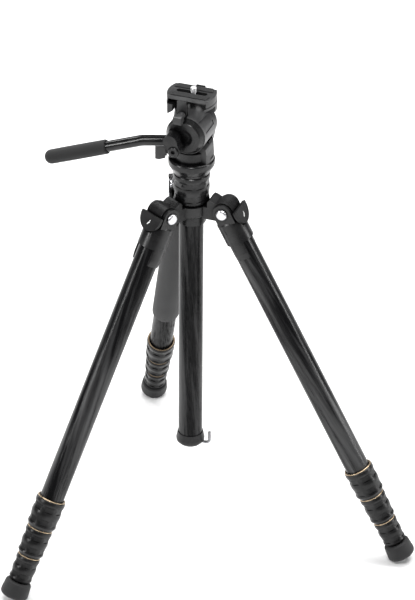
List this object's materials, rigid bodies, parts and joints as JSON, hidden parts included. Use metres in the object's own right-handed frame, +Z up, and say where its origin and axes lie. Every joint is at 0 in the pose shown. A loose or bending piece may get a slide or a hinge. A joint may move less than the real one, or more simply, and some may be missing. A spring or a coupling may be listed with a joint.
{
  "type": "travel tripod with fluid head",
  "caption": "Compact four-section carbon tripod with twist locks, sliding centre column, small fluid head, cranked pan handle and quick-release camera plate.",
  "frame": {"origin": "centre of the base of the bounding box, on the floor", "axes": "+Z up, +X towards the front leg, the handle points to -X"},
  "size_m": [0.4414, 0.4874, 0.5787],
  "materials": {
    "anodised_black": "satin black anodised",
    "cast_black": "satin black",
    "carbon": "clear-coated carbon fibre weave",
    "rubber_dark": "matte",
    "foam_grey": "matte foam",
    "bright_steel": "polished",
    "plain_steel": "brushed",
    "knob_grey": "satin grey",
    "black_plastic": "matte"
  },
  "bodies": {
    "shoulder": {"spider": "cast_black", "hinge_bolts": "bright_steel", "column_bushing": "black_plastic"},
    "strap_loop": {"strap_ring": "plain_steel"},
    "column_lock": {"column_collar": "anodised_black"},
    "column": {"column_tube": "carbon", "column_cap": "black_plastic", "column_plate": "anodised_black", "head_base": "anodised_black", "pan_spindle": "plain_steel"},
    "hook": {"weight_hook": "plain_steel"},
    "pan": {"pan_base": "cast_black", "yoke": "cast_black", "tilt_axle": "anodised_black"},
    "pan_lock": {"pan_knob": "knob_grey"},
    "tilt": {"tilt_drum": "cast_black", "hub_cap": "cast_black", "handle_bracket": "cast_black", "clamp_body": "anodised_black"},
    "handle_screw": {"handle_clamp_screw": "plain_steel"},
    "handle": {"handle_tube": "anodised_black", "handle_grip": "rubber_dark"},
    "jaw": {"clamp_jaw": "anodised_black"},
    "clamp_lever": {"clamp_knob": "knob_grey"},
    "plate": {"quick_release_plate": "anodised_black", "plate_pads": "rubber_dark"},
    "clip": {"screw_clip": "plain_steel"},
    "screw": {"camera_screw": "plain_steel"},
    "button": {"safety_button": "knob_grey"},
    "leg_a_upper": {"leg_a_casting": "cast_black", "leg_a_tube_1": "carbon"},
    "leg_a_tab": {"leg_a_lock_tab": "anodised_black"},
    "leg_a_section_2": {"leg_a_tube_2": "carbon"},
    "leg_a_section_3": {"leg_a_tube_3": "carbon"},
    "leg_a_section_4": {"leg_a_tube_4": "carbon", "leg_a_foot": "rubber_dark"},
    "leg_a_twist_1": {"leg_a_collar_1": "anodised_black"},
    "leg_a_twist_2": {"leg_a_collar_2": "anodised_black"},
    "leg_a_twist_3": {"leg_a_collar_3": "anodised_black"},
    "leg_b_upper": {"leg_b_casting": "cast_black", "leg_b_tube_1": "carbon", "leg_grip": "foam_grey"},
    "leg_b_tab": {"leg_b_lock_tab": "anodised_black"},
    "leg_b_section_2": {"leg_b_tube_2": "carbon"},
    "leg_b_section_3": {"leg_b_tube_3": "carbon"},
    "leg_b_section_4": {"leg_b_tube_4": "carbon", "leg_b_foot": "rubber_dark"},
    "leg_b_twist_1": {"leg_b_collar_1": "anodised_black"},
    "leg_b_twist_2": {"leg_b_collar_2": "anodised_black"},
    "leg_b_twist_3": {"leg_b_collar_3": "anodised_black"},
    "leg_c_upper": {"leg_c_casting": "cast_black", "leg_c_tube_1": "carbon"},
    "leg_c_tab": {"leg_c_lock_tab": "anodised_black"},
    "leg_c_section_2": {"leg_c_tube_2": "carbon"},
    "leg_c_section_3": {"leg_c_tube_3": "carbon"},
    "leg_c_section_4": {"leg_c_tube_4": "carbon", "leg_c_foot": "rubber_dark"},
    "leg_c_twist_1": {"leg_c_collar_1": "anodised_black"},
    "leg_c_twist_2": {"leg_c_collar_2": "anodised_black"},
    "leg_c_twist_3": {"leg_c_collar_3": "anodised_black"}
  },
  "joints": [
    {"name": "strap_loop_hinge", "type": "hinge", "parent": "shoulder", "child": "strap_loop", "pos_m": [-0.082, 0, 0.44288], "axis": [0, -1, 0], "range_deg": [0, 105]},
    {"name": "column_lock_twist", "type": "hinge", "parent": "shoulder", "child": "column_lock", "pos_m": [-0.058, 0, 0.45188], "axis": [0, 0, 1], "range_deg": [0, 90]},
    {"name": "column_slide", "type": "slide", "parent": "shoulder", "child": "column", "axis": [0, 0, 1], "range_m": [0, 0.26]},
    {"name": "hook_pull", "type": "slide", "parent": "column", "child": "hook", "axis": [0, 0, -1], "range_m": [0, 0.014], "stiffness_N_per_m": 200, "springref_m": -0.005},
    {"name": "pan_turn", "type": "hinge", "parent": "column", "child": "pan", "pos_m": [-0.058, 0, 0.49117], "axis": [0, 0, 1], "continuous": true},
    {"name": "pan_lock_twist", "type": "hinge", "parent": "pan", "child": "pan_lock", "pos_m": [-0.08391, -0.00923, 0.49717], "axis": [-0.9421, -0.3355, 0], "range_deg": [-90, 90]},
    {"name": "head_tilt", "type": "hinge", "parent": "pan", "child": "tilt", "pos_m": [-0.058, 0, 0.52728], "axis": [0, 1, 0], "range_deg": [-45, 90]},
    {"name": "handle_screw_turn", "type": "hinge", "parent": "tilt", "child": "handle_screw", "pos_m": [-0.0646, -0.0412, 0.51667], "axis": [0, -1, 0], "range_deg": [0, 180]},
    {"name": "handle_swivel", "type": "hinge", "parent": "tilt", "child": "handle", "pos_m": [-0.065, -0.0339, 0.52758], "axis": [-0.9816, 0, -0.1908], "range_deg": [-90, 90]},
    {"name": "clamp_lever_twist", "type": "hinge", "parent": "tilt", "child": "clamp_lever", "pos_m": [-0.062, -0.0194, 0.55327], "axis": [0, -1, 0], "range_deg": [0, 180]},
    {"name": "jaw_open", "type": "slide", "parent": "tilt", "child": "jaw", "axis": [0, -1, 0], "range_m": [0, 0.0016]},
    {"name": "plate_slide", "type": "slide", "parent": "tilt", "child": "plate", "axis": [1, 0, 0], "range_m": [-0.008, 0.005]},
    {"name": "clip_slide", "type": "slide", "parent": "plate", "child": "clip", "axis": [1, 0, 0], "range_m": [-0.014, 0.01]},
    {"name": "screw_turn", "type": "hinge", "parent": "clip", "child": "screw", "pos_m": [-0.056, 0, 0.56347], "axis": [0, 0, 1], "continuous": true},
    {"name": "button_press", "type": "slide", "parent": "tilt", "child": "button", "axis": [0, 0, -1], "range_m": [0, 0.0015], "stiffness_N_per_m": 600, "springref_m": -0.001},
    {"name": "leg_a_hinge", "type": "hinge", "parent": "shoulder", "child": "leg_a_upper", "pos_m": [-0.0166, 0, 0.43188], "axis": [0, -1, 0], "range_deg": [-27, 52]},
    {"name": "leg_a_tab_pull", "type": "slide", "parent": "leg_a_upper", "child": "leg_a_tab", "axis": [0.8829, 0, 0.4695], "range_m": [0, 0.004], "stiffness_N_per_m": 400, "springref_m": -0.002},
    {"name": "leg_a_twist_1_turn", "type": "hinge", "parent": "leg_a_upper", "child": "leg_a_twist_1", "pos_m": [0.15687, 0, 0.102], "axis": [0.4695, 0, -0.8829], "range_deg": [0, 90]},
    {"name": "leg_a_twist_2_turn", "type": "hinge", "parent": "leg_a_section_2", "child": "leg_a_twist_2", "pos_m": [0.1748, 0, 0.06827], "axis": [0.4695, 0, -0.8829], "range_deg": [0, 90]},
    {"name": "leg_a_twist_3_turn", "type": "hinge", "parent": "leg_a_section_3", "child": "leg_a_twist_3", "pos_m": [0.19147, 0, 0.03693], "axis": [0.4695, 0, -0.8829], "range_deg": [0, 90]},
    {"name": "leg_a_slide_2", "type": "slide", "parent": "leg_a_upper", "child": "leg_a_section_2", "axis": [0.4695, 0, -0.8829], "range_m": [0, 0.265]},
    {"name": "leg_a_slide_3", "type": "slide", "parent": "leg_a_section_2", "child": "leg_a_section_3", "axis": [0.4695, 0, -0.8829], "range_m": [0, 0.265]},
    {"name": "leg_a_slide_4", "type": "slide", "parent": "leg_a_section_3", "child": "leg_a_section_4", "axis": [0.4695, 0, -0.8829], "range_m": [0, 0.265]},
    {"name": "leg_b_hinge", "type": "hinge", "parent": "shoulder", "child": "leg_b_upper", "pos_m": [-0.0787, 0.03585, 0.43188], "axis": [0.866, 0.5, 0], "range_deg": [-27, 52]},
    {"name": "leg_b_tab_pull", "type": "slide", "parent": "leg_b_upper", "child": "leg_b_tab", "axis": [-0.4415, 0.7647, 0.4695], "range_m": [0, 0.004], "stiffness_N_per_m": 400, "springref_m": -0.002},
    {"name": "leg_b_twist_1_turn", "type": "hinge", "parent": "leg_b_upper", "child": "leg_b_twist_1", "pos_m": [-0.16544, 0.18608, 0.102], "axis": [-0.2347, 0.4066, -0.8829], "range_deg": [0, 90]},
    {"name": "leg_b_twist_2_turn", "type": "hinge", "parent": "leg_b_section_2", "child": "leg_b_twist_2", "pos_m": [-0.1744, 0.20161, 0.06827], "axis": [-0.2347, 0.4066, -0.8829], "range_deg": [0, 90]},
    {"name": "leg_b_twist_3_turn", "type": "hinge", "parent": "leg_b_section_3", "child": "leg_b_twist_3", "pos_m": [-0.18274, 0.21605, 0.03693], "axis": [-0.2347, 0.4066, -0.8829], "range_deg": [0, 90]},
    {"name": "leg_b_slide_2", "type": "slide", "parent": "leg_b_upper", "child": "leg_b_section_2", "axis": [-0.2347, 0.4066, -0.8829], "range_m": [0, 0.265]},
    {"name": "leg_b_slide_3", "type": "slide", "parent": "leg_b_section_2", "child": "leg_b_section_3", "axis": [-0.2347, 0.4066, -0.8829], "range_m": [0, 0.265]},
    {"name": "leg_b_slide_4", "type": "slide", "parent": "leg_b_section_3", "child": "leg_b_section_4", "axis": [-0.2347, 0.4066, -0.8829], "range_m": [0, 0.265]},
    {"name": "leg_c_hinge", "type": "hinge", "parent": "shoulder", "child": "leg_c_upper", "pos_m": [-0.0787, -0.03585, 0.43188], "axis": [-0.866, 0.5, 0], "range_deg": [-27, 52]},
    {"name": "leg_c_tab_pull", "type": "slide", "parent": "leg_c_upper", "child": "leg_c_tab", "axis": [-0.4415, -0.7647, 0.4695], "range_m": [0, 0.004], "stiffness_N_per_m": 400, "springref_m": -0.002},
    {"name": "leg_c_twist_1_turn", "type": "hinge", "parent": "leg_c_upper", "child": "leg_c_twist_1", "pos_m": [-0.16544, -0.18608, 0.102], "axis": [-0.2347, -0.4066, -0.8829], "range_deg": [0, 90]},
    {"name": "leg_c_twist_2_turn", "type": "hinge", "parent": "leg_c_section_2", "child": "leg_c_twist_2", "pos_m": [-0.1744, -0.20161, 0.06827], "axis": [-0.2347, -0.4066, -0.8829], "range_deg": [0, 90]},
    {"name": "leg_c_twist_3_turn", "type": "hinge", "parent": "leg_c_section_3", "child": "leg_c_twist_3", "pos_m": [-0.18274, -0.21605, 0.03693], "axis": [-0.2347, -0.4066, -0.8829], "range_deg": [0, 90]},
    {"name": "leg_c_slide_2", "type": "slide", "parent": "leg_c_upper", "child": "leg_c_section_2", "axis": [-0.2347, -0.4066, -0.8829], "range_m": [0, 0.265]},
    {"name": "leg_c_slide_3", "type": "slide", "parent": "leg_c_section_2", "child": "leg_c_section_3", "axis": [-0.2347, -0.4066, -0.8829], "range_m": [0, 0.265]},
    {"name": "leg_c_slide_4", "type": "slide", "parent": "leg_c_section_3", "child": "leg_c_section_4", "axis": [-0.2347, -0.4066, -0.8829], "range_m": [0, 0.265]}
  ],
  "couplings": [
    {"joint": "jaw_open", "follows": "clamp_lever_twist", "m_per_rad": 0.0005093}
  ]
}
